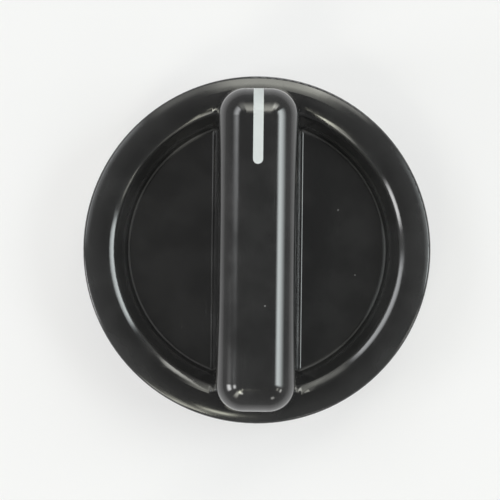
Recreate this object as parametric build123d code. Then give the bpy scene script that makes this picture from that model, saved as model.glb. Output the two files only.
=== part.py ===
from build123d import *

import os
from math import radians, sin, sqrt, tan

# Push-on timer knob of a kitchen appliance, in millimetres and degrees.
# The origin is on the turning axis in the skirt's bottom plane. +Z points at the user, and +Y is
# the way that the pointer line points.

# Skirt and rim
base_diameter = 58.8
skirt_draft = 2.0  # off the turning axis
skirt_wall = 2.0
crest_height = 12.5  # top of the rim above the bottom plane, before rounding
rim_width = 5.0  # from the dish's edge to the shoulder, before rounding
rim_drop = 0.2  # fall of the rim up to its crowned part
crown_width = 2.0  # outer part of the rim, which curves down to the shoulder
crown_drop = 0.52
crest_radius = 2.0
shoulder_radius = 0.6
rim_hollow = 2.5  # width of the groove under the rim

# Dish
dish_depth = 4.5
dish_wall_angle = 60.8  # off the floor
dish_ease = 0.35  # eased corner between floor and wall
floor_thickness = 2.2

# Grip bar
bar_rise = 17.0  # above the rim's crest
bar_width = 12.6  # across the top, before rounding
bar_end_margin = 3.13  # from the base's edge to the bar's end, in plan at the top
bar_draft = 2.6
bar_edge_radius = 4.5  # of the upright corners and the top edges alike
bar_root_radius = 0.45
bar_wall = 2.3
core_corner_radius = 1.5

# Pointer line
pointer_width = 1.65
pointer_reach = 14.0  # from the turning axis to the line's inner end
pointer_drop = 7.0  # how far the line runs down the bar's end
pointer_depth = 0.3

# Shaft, and the stem that takes it
shaft_diameter = 6.35
shaft_flat_depth = 1.6  # cut off one side of the shaft
shaft_clearance = 0.05  # all round the shaft
stem_wall = 2.3
stem_setback = 1.2  # end of the stem above the bottom plane
socket_depth = 14.0
socket_chamfer = 0.5
web_thickness = 1.6
web_setback = 2.6

# Spring clip over the stem's flat wall
clip_thickness = 0.4
clip_bow = 0.25  # how far the bowed leg stands off the wall
clip_clearance = 0.05
clip_side_gap = 0.3
clip_wall = 2.0  # thickness of the stem's wall between the clip's legs
clip_inner_leg = 10.0
clip_outer_leg = 5.0
clip_bow_length = 6.0
clip_bow_radius = 5.0
clip_bend_radius = 0.4

# Levels and radii that follow from these sizes
base_radius = base_diameter / 2
floor_level = crest_height - dish_depth
floor_underside = floor_level - floor_thickness
floor_middle = floor_level - floor_thickness / 2
shoulder_level = crest_height - rim_drop - crown_drop
bar_top = crest_height + bar_rise
bar_length = base_diameter - 2 * bar_end_margin
socket_radius = shaft_diameter / 2 + shaft_clearance
shaft_flat = shaft_diameter / 2 - shaft_flat_depth
socket_flat = shaft_flat + clip_thickness + clip_bow
stem_radius = socket_radius + stem_wall
clip_width = 2 * (sqrt(socket_radius**2 - socket_flat**2) - clip_side_gap)


def skirt_radius(level):
    """Outside radius of the drafted skirt at a level."""
    return base_radius - level * tan(radians(skirt_draft))


crest_edge = skirt_radius(shoulder_level) - rim_width
floor_edge = crest_edge - dish_depth / tan(radians(dish_wall_angle))


def dished_disc():
    """Solid of revolution with the outside of the skirt, the rim and the dish."""
    floor_corner = (floor_edge, floor_level)
    crest_corner = (crest_edge, crest_height)
    shoulder_corner = (skirt_radius(shoulder_level), shoulder_level)
    crown_start = (skirt_radius(shoulder_level) - crown_width, crest_height - rim_drop)
    outline = Polyline(
        shoulder_corner,
        (base_radius, 0),
        (0, 0),
        (0, floor_level),
        floor_corner,
        crest_corner,
        crown_start,
    )
    crown = TangentArc(crown_start, shoulder_corner, tangent=Vector(crown_start) - Vector(crest_corner))
    section = make_face(outline.edges() + crown.edges())
    section = chamfer(section.vertices().sort_by_distance(floor_corner)[0], dish_ease)
    section = fillet(section.vertices().sort_by_distance(crest_corner)[0], crest_radius)
    section = fillet(section.vertices().sort_by_distance(shoulder_corner)[0], shoulder_radius)
    return revolve(Plane.XZ * section, Axis.Z)


def shell_hollow():
    """Space under the dish, with a straight groove between the dish's wall and the skirt."""
    dish_slope = radians(dish_wall_angle)
    inside_skirt = skirt_radius(shoulder_level) - skirt_wall
    groove_edge = inside_skirt - rim_hollow
    outside_dish = floor_edge + skirt_wall / sin(dish_slope)
    groove_top = floor_level + (groove_edge - outside_dish) * tan(dish_slope)
    outline = Polyline(
        (0, floor_underside),
        (groove_edge, floor_underside),
        (groove_edge, groove_top),
        (inside_skirt, groove_top),
        (inside_skirt, 0),
        (0, 0),
        close=True,
    )
    return revolve(Plane.XZ * make_face(outline), Axis.Z)


def bar_block(inset, bottom):
    """Four-sided drafted block of the bar, taken in by inset all round and cut level at bottom."""
    height = bar_top - inset - bottom
    growth = height * tan(radians(bar_draft)) - inset
    outline = Rectangle(bar_width + 2 * growth, bar_length + 2 * growth)
    return extrude(Plane.XY.offset(bottom) * outline, height, taper=bar_draft)


def grip_bar(inset, bottom):
    """Bar whose upright corners and top edges share one radius, so that each top corner is a ball's."""
    block = bar_block(inset, bottom)
    bottom_edges = block.faces().sort_by(Axis.Z)[0].edges()
    return fillet(block.edges() - bottom_edges, bar_edge_radius - inset)


def bar_core():
    """Hollow of the bar, open downwards and rounded at its upright corners."""
    block = bar_block(bar_wall, floor_underside)
    levels = block.faces().sort_by(Axis.Z)
    return fillet(block.edges() - levels[0].edges() - levels[-1].edges(), core_corner_radius)


def footed_bar(bar):
    """Bar on the dish's floor, with a fillet along each long side of its foot."""
    plate = extrude(Plane.XY.offset(floor_underside) * Circle(floor_edge + bar_root_radius), floor_thickness)
    joined = plate + bar
    long_sides = joined.edges().filter_by(Axis.Y)
    return fillet(long_sides.filter_by_position(Axis.Z, floor_level, floor_level), bar_root_radius)


def shaft_stem():
    """Round post from the stem's end up into the bar, kept within the bar's walls."""
    post = Plane.XY.offset(stem_setback) * Circle(stem_radius)
    below = extrude(post, floor_middle - stem_setback)
    above = extrude(post, bar_top - stem_setback) & grip_bar(bar_wall / 2, floor_middle)
    return below + above


def shaft_webs():
    """Two webs that tie the stem to the skirt, one to each side."""
    reach = skirt_radius(floor_middle) - skirt_wall / 2
    outline = Rectangle(2 * reach, web_thickness)
    return extrude(Plane.XY.offset(web_setback) * outline, floor_middle - web_setback)


def shaft_socket():
    """D-shaped blind socket with a flared mouth, its flat on the -Y side."""
    mouth = Plane.XY.offset(stem_setback)
    beyond_flat = Rectangle(2 * socket_radius, socket_radius, align=(Align.CENTER, Align.MAX))
    section = Circle(socket_radius) - Pos(0, -socket_flat) * beyond_flat
    flare = offset(section, socket_chamfer, kind=Kind.INTERSECTION)
    lead_in = loft([mouth * flare, mouth.offset(socket_chamfer) * section])
    return extrude(mouth * section, socket_depth) + lead_in


def clip_seat():
    """Flat cut into the outside of the stem for the clip's outer leg, with its lower edge eased."""
    wall_face = -socket_flat - clip_wall
    outer_limit = wall_face - stem_radius
    top = stem_setback + clip_outer_leg + clip_clearance
    outline = Polyline(
        (wall_face, top),
        (wall_face, stem_setback + socket_chamfer),
        (wall_face + socket_chamfer, stem_setback),
        (outer_limit, stem_setback),
        (outer_limit, top),
        close=True,
    )
    return extrude(Plane.YZ * make_face(outline), clip_width / 2 + clip_clearance, both=True)


def shaft_clip():
    """Bent strip: a bowed leg on the socket's flat, across the stem's end, and a leg outside."""
    half = clip_thickness / 2
    seat = -(socket_flat - clip_clearance - half)
    crown = -(shaft_flat + half)
    outside = -(socket_flat + clip_wall + clip_clearance + half)
    foot = stem_setback - clip_clearance - half
    tip = foot + clip_inner_leg
    bend = clip_bend_radius + half
    path = FilletPolyline(
        (seat, tip),
        (crown, tip - clip_bow_length / 2),
        (seat, tip - clip_bow_length),
        (seat, foot),
        (outside, foot),
        (outside, foot + clip_outer_leg),
        radius=(clip_bow_radius, clip_bow_radius, bend, bend),
    )
    return extrude(Plane.YZ * trace(path, clip_thickness), clip_width / 2, both=True)


def pointer_fill(bar):
    """Paint in the groove along the bar's top and down one end, level with the bar's surface."""
    inner_end = Pos(0, pointer_reach + pointer_width / 2)
    line = Rectangle(pointer_width, base_radius, align=(Align.CENTER, Align.MIN))
    plan = inner_end * (line + Circle(pointer_width / 2))
    reach = extrude(Plane.XY.offset(bar_top - pointer_drop) * plan, pointer_drop)
    return (bar - grip_bar(pointer_depth, 0)) & reach


bar = grip_bar(0, floor_underside)
pointer_line = pointer_fill(bar)

knob_body = dished_disc() + footed_bar(bar)
knob_body -= shell_hollow() + bar_core()
knob_body += shaft_stem() + shaft_webs()
knob_body -= shaft_socket() + clip_seat()
knob_body -= pointer_line

os.makedirs("parts", exist_ok=True)
export_step(knob_body, "parts/knob_body.step")
export_step(pointer_line, "parts/pointer_line.step")
export_step(shaft_clip(), "parts/shaft_clip.step")
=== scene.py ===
from math import cos, pi, radians, sin

import bmesh
import bpy
from mathutils import Matrix, Vector


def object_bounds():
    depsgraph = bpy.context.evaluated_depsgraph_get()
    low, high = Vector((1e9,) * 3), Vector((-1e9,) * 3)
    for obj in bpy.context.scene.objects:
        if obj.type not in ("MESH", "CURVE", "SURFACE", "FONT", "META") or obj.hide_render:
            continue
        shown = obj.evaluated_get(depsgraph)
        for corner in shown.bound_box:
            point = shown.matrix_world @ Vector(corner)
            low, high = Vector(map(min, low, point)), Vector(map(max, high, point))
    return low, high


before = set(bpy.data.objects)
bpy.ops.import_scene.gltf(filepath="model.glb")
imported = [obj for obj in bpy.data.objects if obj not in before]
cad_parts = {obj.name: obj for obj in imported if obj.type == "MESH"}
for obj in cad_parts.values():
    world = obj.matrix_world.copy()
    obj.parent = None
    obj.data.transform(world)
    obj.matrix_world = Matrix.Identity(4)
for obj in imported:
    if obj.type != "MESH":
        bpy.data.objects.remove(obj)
cad_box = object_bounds()

# Camera, straight above the knob
CAMERA_PLACE = (-0.00115, -0.00003, 0.700)
CAMERA_ROLL = 0.64  # degrees; the pointer leans that much to the right
SENSOR_WIDTH = 36.0  # millimetres
PICTURE_WIDTH = 0.0849  # metres of floor across the picture

# Zones of the moulding, in metres. A zone with two numbers starts at the first and is full at the second.
# One with four also fades from the third to the fourth.
DISH_LEVELS = (0.0078, 0.0080, 0.0128, 0.0131)
RIM_LEVELS = (0.0108, 0.0114)
CORNER_RING = (0.02125, 0.02140, 0.02150, 0.02165)  # radii, from the dish's floor outwards
WALL_RING = (0.0215, 0.0222, 0.0238, 0.0246)
STEP_RING = (0.0219, 0.0222, 0.0223, 0.0227)
RIM_RING = (0.0252, 0.0284)
CREST_RING = (0.0216, 0.0234)
BESIDE_BAR = (0.0072, 0.0077)  # to each side of the bar's middle
CREST_BESIDE_BAR = (0.0071, 0.0078)

# How much paler than the plastic each zone is painted: a painted sheen on the dish's wall and on the rim, a
# painted highlight line in the dish's corner and a second painted highlight line a little up the wall
PAINTED_WALL_SHEEN = 0.015
PAINTED_CORNER_HIGHLIGHT = 0.050
PAINTED_STEP_HIGHLIGHT = 0.016
PAINTED_RIM_SHEEN = 0.010

# Slight crowns of the moulding: radii in metres, and curvatures in 1/m
CREST_INNER_EDGE = 0.0238
CREST_MIDDLE = 0.02448
CREST_OUTER_EDGE = 0.0252
CREST_END = 0.0262
CREST_INNER_CURVE = 220.0
CREST_OUTER_CURVE = 115.0
CREST_END_CURVE = 83.0
RIM_CROWN_START = 0.02697
RIM_CROWN_END = 0.02897
RIM_CROWN_CURVE = 22.0

# Wear, as centre and radius
SPECKS = (
    ((0.00139, -0.00911, 0.0295), 0.00020),
    ((0.01355, 0.00685, 0.0080), 0.00020),
    ((0.01652, -0.00403, 0.0080), 0.00016),
)

# Floor
FLOOR_RADIUS = 1.5
FLOOR_GAP = 0.00002  # under the knob, so that no two faces share a plane
FLOOR_WHITE = 0.88
FLOOR_GLOW = 0.62  # what the floor shows of its own, so that the shadow on it stays faint
FLOOR_NEAR = 0.07  # the gloss shows the floor white up to here, and darker with distance beyond
FLOOR_FAR = 0.45
FLOOR_NEAR_TONE = 0.90
FLOOR_FAR_TONE = 0.28

# Studio round the knob. Azimuth 0 is right, 90 is the pointer's way. A lamp reaches half_width to each
# side; off the zenith it starts at inner, is brightest at peak and ends at outer. All are degrees.
ROOM_ZENITH = 0.10
ROOM_HORIZON = 0.30
ROOM_RISE = 1.8  # power of the room's rise from the zenith to the horizon
LAMP_EDGE = 4.0  # how far a lamp fades out to each side of its edge
LAMPS = (
    dict(azimuth=10, half_width=21, inner=27, peak=41, outer=73, strength=5.8, colour=(0.93, 1.0, 1.0)),
    dict(azimuth=62, half_width=11, inner=24, peak=40, outer=66, strength=4.2, colour=(1.0, 1.0, 0.93)),
    dict(azimuth=84, half_width=18, inner=11, peak=24, outer=62, strength=3.0, colour=(1.0, 1.0, 0.90)),
    dict(azimuth=114, half_width=13, inner=16, peak=38, outer=70, strength=1.1, colour=(1.0, 1.0, 0.93)),
    dict(azimuth=155, half_width=22, inner=26, peak=40, outer=62, strength=3.7, colour=(0.96, 0.98, 1.0)),
    dict(azimuth=199, half_width=7, inner=30, peak=39, outer=48, strength=7.4, colour=(1.0, 1.0, 1.0)),
    dict(azimuth=195, half_width=9, inner=50, peak=63, outer=80, strength=7.4, colour=(1.0, 1.0, 1.0)),
    dict(azimuth=238, half_width=7, inner=30, peak=46, outer=76, strength=3.7, colour=(1.0, 1.0, 0.90)),
    dict(azimuth=247, half_width=6, inner=27, peak=36, outer=46, strength=10.1, colour=(1.0, 1.0, 0.84)),
    dict(azimuth=257, half_width=4, inner=18, peak=24, outer=30, strength=5.5, colour=(1.0, 1.0, 0.84)),
    dict(azimuth=257, half_width=4, inner=34, peak=40, outer=46, strength=5.5, colour=(1.0, 1.0, 0.95)),
    dict(azimuth=290, half_width=5, inner=54, peak=62, outer=72, strength=2.8, colour=(1.0, 1.0, 0.95)),
    dict(azimuth=333, half_width=5, inner=40, peak=46, outer=52, strength=2.8, colour=(1.0, 1.0, 0.88)),
    dict(azimuth=334, half_width=5, inner=55, peak=62, outer=69, strength=4.6, colour=(1.0, 1.0, 0.95)),
)


class Shade:
    """A socket of a node tree. Arithmetic on it adds Math nodes to the tree."""

    def __init__(self, tree, socket=None):
        self.tree = tree
        self.socket = socket

    def node(self, kind, settings, inputs, output=0):
        """Add a node of a kind, with its settings first, then its input values or links."""
        made = self.tree.nodes.new(kind)
        for name, value in settings.items():
            setattr(made, name, value)
        for name, value in inputs.items():
            if isinstance(value, Shade):
                self.tree.links.new(value.socket, made.inputs[name])
            else:
                made.inputs[name].default_value = value
        return Shade(self.tree, made.outputs[output] if made.outputs else None)

    def sibling(self, output):
        """Another output of the same node."""
        return Shade(self.tree, self.socket.node.outputs[output])

    def maths(self, operation, *values):
        return self.node("ShaderNodeMath", {"operation": operation}, dict(enumerate(values)))

    def __add__(self, other):
        return self.maths("ADD", self, other)

    def __radd__(self, other):
        return self.maths("ADD", other, self)

    def __sub__(self, other):
        return self.maths("SUBTRACT", self, other)

    def __rsub__(self, other):
        return self.maths("SUBTRACT", other, self)

    def __mul__(self, other):
        return self.maths("MULTIPLY", self, other)

    def __rmul__(self, other):
        return self.maths("MULTIPLY", other, self)

    def __truediv__(self, other):
        return self.maths("DIVIDE", self, other)

    def __rtruediv__(self, other):
        return self.maths("DIVIDE", other, self)

    def __pow__(self, exponent):
        return self.maths("POWER", self, exponent)

    def __abs__(self):
        return self.maths("ABSOLUTE", self)

    def greater(self, other):
        """The greater of this value and another."""
        return self.maths("MAXIMUM", self, other)

    def ramp(self, low, high, start=0.0, end=1.0):
        """Smooth step from start to end as the value goes from low to high."""
        inputs = {"Value": self, "From Min": low, "From Max": high, "To Min": start, "To Max": end}
        return self.node("ShaderNodeMapRange", {"interpolation_type": "SMOOTHSTEP"}, inputs)

    def band(self, start, full, fade, end):
        """1 between full and fade, going smoothly to 0 at start and end."""
        return self.ramp(start, full) * self.ramp(fade, end, 1.0, 0.0)

    def slope(self, low, high, start=0.0, end=1.0):
        """Straight line from start to end as the value goes from low to high, level beyond."""
        inputs = {"Value": self, "From Min": low, "From Max": high, "To Min": start, "To Max": end}
        return self.node("ShaderNodeMapRange", {}, inputs)

    def past(self, low, high):
        """How far the value is past low, up to high."""
        return self.slope(low, high, 0.0, high - low)

    def short_of(self, low, high):
        """How far the value falls short of high, down to low."""
        return self.slope(low, high, high - low, 0.0)

    def mixed(self, first, second):
        """Colour between first and second, by this value."""
        return self.node("ShaderNodeMix", {"data_type": "RGBA"}, {0: self, 6: first, 7: second}, output=2)


def grey_tone(level):
    return (level, level, level, 1.0)


def new_material(name):
    """Empty material, with the Shade that adds nodes to it."""
    material = bpy.data.materials.new(name)
    material.use_nodes = True
    material.node_tree.nodes.clear()
    return material, Shade(material.node_tree)


def object_place(shade):
    return shade.node("ShaderNodeTexCoord", {}, {}, output="Object")


def axes(shade, vector):
    """The three components of a vector."""
    x = shade.node("ShaderNodeSeparateXYZ", {}, {"Vector": vector})
    return x, x.sibling("Y"), x.sibling("Z")


def distance_between(shade, first, second):
    """Distance of two points."""
    inputs = {0: first, 1: second}
    return shade.node("ShaderNodeVectorMath", {"operation": "DISTANCE"}, inputs, output="Value")


def noise(shade, coordinates, scale, detail):
    """Value noise between 0 and 1."""
    return shade.node("ShaderNodeTexNoise", {}, {"Vector": coordinates, "Scale": scale, "Detail": detail})


def stretched(shade, coordinates, turn, stretch):
    """Coordinates turned about Z and squeezed along one axis, for scratches that run one way."""
    inputs = {"Vector": coordinates, "Rotation": (0.0, 0.0, radians(turn)), "Scale": (1.0, stretch, 1.0)}
    return shade.node("ShaderNodeMapping", {}, inputs)


def bumped(shade, height, strength=1.0, distance=1.0):
    """Normal of a surface with this height on it."""
    return shade.node("ShaderNodeBump", {}, {"Strength": strength, "Distance": distance, "Height": height})


def surface(shade, inputs):
    """Finish a material with a Principled shader."""
    shader = shade.node("ShaderNodeBsdfPrincipled", {}, inputs)
    shade.node("ShaderNodeOutputMaterial", {}, {"Surface": shader})


def painted_sheen_and_lines(radius, in_dish, on_rim, beside_bar):
    """How much paler the dish's wall, the lines along its foot and the rim are painted than the rest: painted
    sheen on the wall and rim, painted highlight lines along the foot.
    """
    # painted sheen on the dish's wall
    wall = radius.band(*WALL_RING) * in_dish
    # painted highlight line in the dish's corner
    corner = radius.band(*CORNER_RING) * in_dish * beside_bar
    # second painted highlight line a little up the dish's wall
    step = radius.band(*STEP_RING) * in_dish * beside_bar
    # painted sheen on the rim, growing towards its outer edge
    rim = radius.ramp(*RIM_RING) * on_rim
    return wall * PAINTED_WALL_SHEEN + corner * PAINTED_CORNER_HIGHLIGHT + step * PAINTED_STEP_HIGHLIGHT + rim * PAINTED_RIM_SHEEN


def crest_height(radius):
    """Height, in metres, that makes the crest between the dish and the rim rounder."""
    inner = radius.short_of(CREST_INNER_EDGE, CREST_MIDDLE)
    outer = radius.past(CREST_MIDDLE, CREST_OUTER_EDGE)
    end = radius.short_of(CREST_OUTER_EDGE, CREST_END)
    outer_most = (CREST_OUTER_EDGE - CREST_MIDDLE) ** 2
    rise = inner * inner * CREST_INNER_CURVE + (outer * outer - outer_most) * CREST_OUTER_CURVE
    return (rise - end * end * CREST_END_CURVE) * radius.ramp(*CREST_RING)


def black_plastic():
    """Gloss black moulding with faint haze, fine scuffs, a few pale specks, and painted sheen and highlight
    lines in the dish and on the rim.
    """
    material, shade = new_material("black_plastic")
    place = object_place(shade)
    x, y, z = axes(shade, place)
    radius = (x * x + y * y) ** 0.5
    in_dish = z.band(*DISH_LEVELS)

    haze = noise(shade, place, 130.0, detail=4.0).ramp(0.36, 0.66)
    scratches = noise(shade, stretched(shade, place, 8.0, 0.06), 2600.0, detail=3.0).ramp(0.60, 0.78)
    scuffs = scratches * noise(shade, place, 160.0, detail=2.0).ramp(0.45, 0.70)
    specks = sum(distance_between(shade, place, centre).ramp(size, 0.4 * size) for centre, size in SPECKS)

    # painted sheen on the dish's wall and the rim, and painted highlight lines along the dish's foot
    painted_light = painted_sheen_and_lines(radius, in_dish, z.ramp(*RIM_LEVELS), abs(x).ramp(*BESIDE_BAR))
    grey = 0.0170 + haze * 0.0080 + painted_light + specks * 0.12
    colour = shade.node("ShaderNodeCombineColor", {}, {"Red": grey, "Green": grey, "Blue": grey * 1.02})

    crown = radius.past(RIM_CROWN_START, RIM_CROWN_END)
    crest = crest_height(radius) * in_dish * abs(x).ramp(*CREST_BESIDE_BAR)
    ripple = noise(shade, place, 240.0, detail=1.0)
    fine = ripple * 6e-6 + scuffs * 1.2e-6 + specks * 5e-6
    inputs = {
        "Base Color": colour,
        "Roughness": 0.085 + haze * 0.05 + scuffs * 0.18 + specks * 0.3,
        "IOR": 1.55,
        "Specular IOR Level": 0.9,
        "Normal": bumped(shade, fine + crown * crown * RIM_CROWN_CURVE + crest),
    }
    surface(shade, inputs)
    return material


def pointer_paint():
    """Satin light grey-white paint with a slightly uneven surface."""
    material, shade = new_material("pointer_paint")
    place = object_place(shade)
    grain = noise(shade, place, 1800.0, detail=3.0)
    cloud = noise(shade, place, 300.0, detail=2.0)
    inputs = {
        "Base Color": cloud.mixed((0.575, 0.605, 0.610, 1.0), (0.635, 0.665, 0.672, 1.0)),
        "Roughness": 0.35 + grain * 0.2,
        "Normal": bumped(shade, grain, strength=0.15, distance=0.0001),
    }
    surface(shade, inputs)
    return material


def spring_steel():
    """Rolled spring steel with fine lines along the strip."""
    material, shade = new_material("spring_steel")
    place = object_place(shade)
    lines = noise(shade, stretched(shade, place, 0.0, 0.08), 5200.0, detail=3.0)
    stain = noise(shade, place, 500.0, detail=3.0)
    inputs = {
        "Base Color": stain.mixed((0.42, 0.41, 0.39, 1.0), (0.60, 0.60, 0.59, 1.0)),
        "Metallic": 1.0,
        "Roughness": 0.24 + lines * 0.16,
        "Normal": bumped(shade, lines, strength=0.2, distance=0.00005),
    }
    surface(shade, inputs)
    return material


def floor_white():
    """White that glows a little, and that gloss shows darker with distance."""
    material, shade = new_material("floor_white")
    camera = shade.node("ShaderNodeLightPath", {}, {}, output="Is Camera Ray")
    mirrored = camera.sibling("Is Glossy Ray").greater(camera.sibling("Is Transmission Ray"))
    seen = camera.greater(mirrored)
    middle = (0.0, 0.0, 0.0)
    distance = distance_between(shade, object_place(shade), middle)
    darker = distance.slope(FLOOR_NEAR, FLOOR_FAR) ** 0.5 * (1.0 - camera)
    tone = darker.mixed(grey_tone(FLOOR_NEAR_TONE), grey_tone(FLOOR_FAR_TONE))
    glow = shade.node("ShaderNodeEmission", {}, {"Color": tone, "Strength": 1.0})
    lit = shade.node("ShaderNodeBsdfDiffuse", {}, {"Color": grey_tone(FLOOR_WHITE)})
    share = mirrored * (1.0 - FLOOR_GLOW) + seen * FLOOR_GLOW
    blend = shade.node("ShaderNodeMixShader", {}, {0: share, 1: lit, 2: glow})
    shade.node("ShaderNodeOutputMaterial", {}, {"Surface": blend})
    return material


def dress(node, material):
    """Give a node of the frame a finished material."""
    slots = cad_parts[node].data.materials
    slots.clear()
    slots.append(material)


def add_floor():
    """Plain white floor under the knob."""
    mesh = bpy.data.meshes.new("floor")
    shape = bmesh.new()
    bmesh.ops.create_circle(shape, cap_ends=True, segments=96, radius=FLOOR_RADIUS)
    bmesh.ops.translate(shape, vec=Vector((0.0, 0.0, cad_box[0][2] - FLOOR_GAP)), verts=shape.verts)
    shape.to_mesh(mesh)
    shape.free()
    mesh.materials.append(floor_white())
    floor = bpy.data.objects.new("floor", mesh)
    bpy.context.scene.collection.objects.link(floor)


def lamp_level(lamp, x, y, across, off_zenith):
    """Brightness of a lamp in a direction."""
    azimuth = radians(lamp["azimuth"])
    facing = (x * cos(azimuth) + y * sin(azimuth)) / across
    window_end = cos(radians(lamp["half_width"] + LAMP_EDGE))
    window_full = cos(radians(lamp["half_width"] - LAMP_EDGE))
    window = facing.ramp(window_end, window_full)
    height = off_zenith.band(lamp["inner"], lamp["peak"], lamp["peak"], lamp["outer"])
    return window * height * lamp["strength"]


def add_studio():
    """Room with a dark ceiling and soft lamps round it, as the world."""
    world = bpy.data.worlds.new("studio")
    bpy.context.scene.world = world
    world.use_nodes = True
    world.node_tree.nodes.clear()
    shade = Shade(world.node_tree)
    x, y, z = axes(shade, shade.node("ShaderNodeTexCoord", {}, {}, output="Generated"))
    off_zenith = z.maths("ARCCOSINE", z) * (180.0 / pi)
    across = (x * x + y * y) ** 0.5 + 1e-6
    room = (off_zenith / 90.0) ** ROOM_RISE * (ROOM_HORIZON - ROOM_ZENITH) + ROOM_ZENITH
    light = shade.node("ShaderNodeCombineColor", {}, {"Red": room, "Green": room, "Blue": room})
    tinting = {"data_type": "RGBA", "blend_type": "MULTIPLY"}
    adding = {"data_type": "RGBA", "blend_type": "ADD"}
    for lamp in LAMPS:
        level = lamp_level(lamp, x, y, across, off_zenith)
        tinted = shade.node("ShaderNodeMix", tinting, {0: 1.0, 6: (*lamp["colour"], 1.0), 7: level}, output=2)
        light = shade.node("ShaderNodeMix", adding, {0: 1.0, 6: light, 7: tinted}, output=2)
    background = shade.node("ShaderNodeBackground", {}, {"Color": light, "Strength": 1.0})
    shade.node("ShaderNodeOutputWorld", {}, {"Surface": background})


def add_camera():
    """Camera that looks straight down."""
    data = bpy.data.cameras.new("camera")
    data.sensor_width = SENSOR_WIDTH
    data.lens = CAMERA_PLACE[2] * SENSOR_WIDTH / PICTURE_WIDTH
    camera = bpy.data.objects.new("camera", data)
    camera.matrix_world = Matrix.Translation(CAMERA_PLACE) @ Matrix.Rotation(radians(CAMERA_ROLL), 4, "Z")
    bpy.context.scene.collection.objects.link(camera)
    bpy.context.scene.camera = camera


for name in ("Cube", "Light", "Camera"):
    if name in bpy.data.objects:
        bpy.data.objects.remove(bpy.data.objects[name])

dress("knob_body", black_plastic())
dress("pointer_line", pointer_paint())
dress("shaft_clip", spring_steel())
add_floor()
add_studio()
add_camera()
bpy.context.scene.view_settings.view_transform = "Standard"
